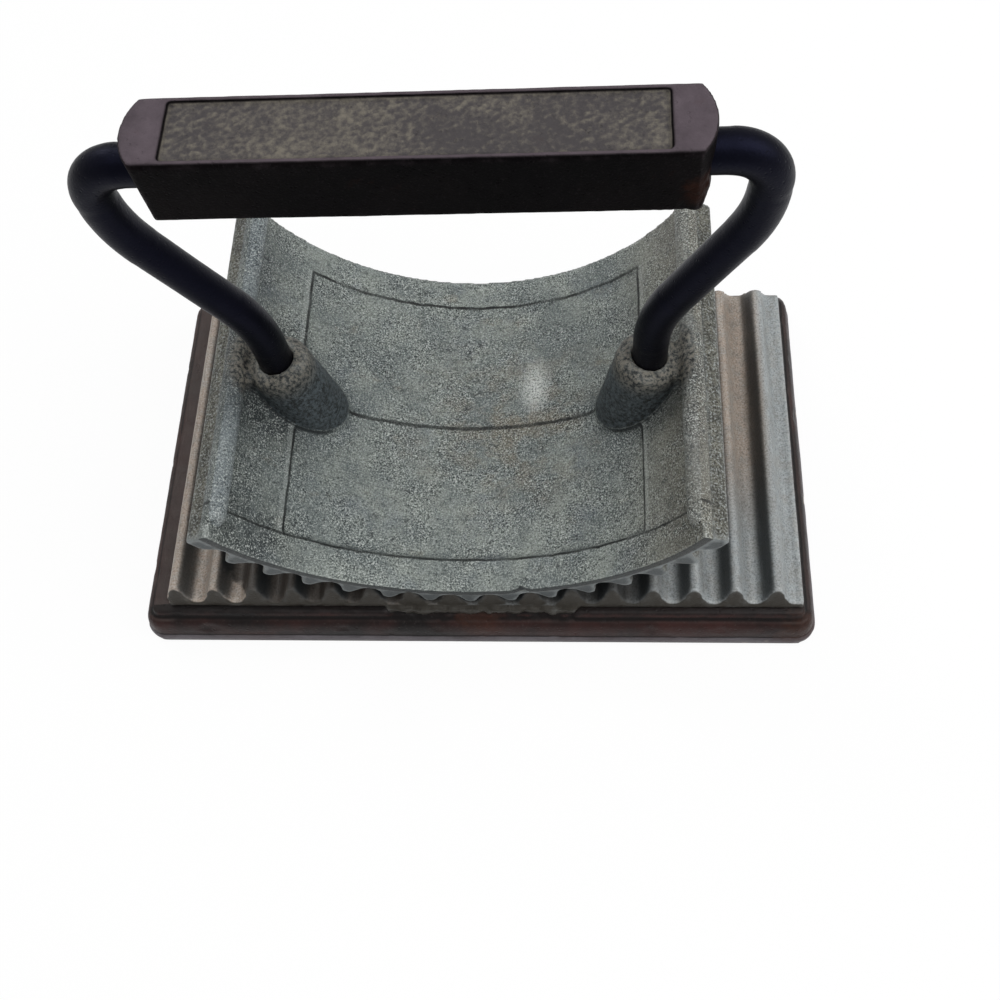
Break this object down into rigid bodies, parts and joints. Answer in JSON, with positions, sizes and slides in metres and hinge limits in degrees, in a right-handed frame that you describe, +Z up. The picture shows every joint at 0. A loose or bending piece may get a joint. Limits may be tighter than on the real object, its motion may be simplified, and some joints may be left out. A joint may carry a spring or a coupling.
{
  "type": "fluting iron",
  "caption": "Hand fluting iron: a curved fluted rocker with a bent-rod bail and cast grip stands on a fluted bed in a moulded iron base and rolls to press pleats.",
  "frame": {"origin": "middle of the base's flat underside, on the surface it stands on", "axes": "+X along the row of flutes, to the viewer's right in the picture; +Y away from the viewer; +Z up"},
  "size_m": [0.146, 0.086, 0.1116],
  "materials": {
    "base_iron": "old dark brown japanned cast iron, rusted at the corners",
    "bed_zinc": "dull grey cast zinc with tan stains in the flutes",
    "rocker_metal": "mottled grey-green cast metal",
    "sole_zinc": "dull grey cast zinc worn bright on the tooth tips",
    "rod_iron": "black iron rod, half matt",
    "grip_iron": "dark cast iron, purple-grey where worn"
  },
  "bodies": {
    "base": {"base_plate": "base_iron", "fluted_bed": "bed_zinc"},
    "rocker": {"rocker_shell": "rocker_metal", "fluted_sole": "sole_zinc", "bail_rod": "rod_iron", "handle_grip": "grip_iron"}
  },
  "joints": [
    {"name": "rocker_roll", "type": "hinge", "parent": "base", "child": "rocker", "pos_m": [0, 0, 0.01385], "axis": [0, 1, 0], "range_deg": [-8.2, 8.2], "stiffness_Nm_per_rad": 0.246}
  ]
}
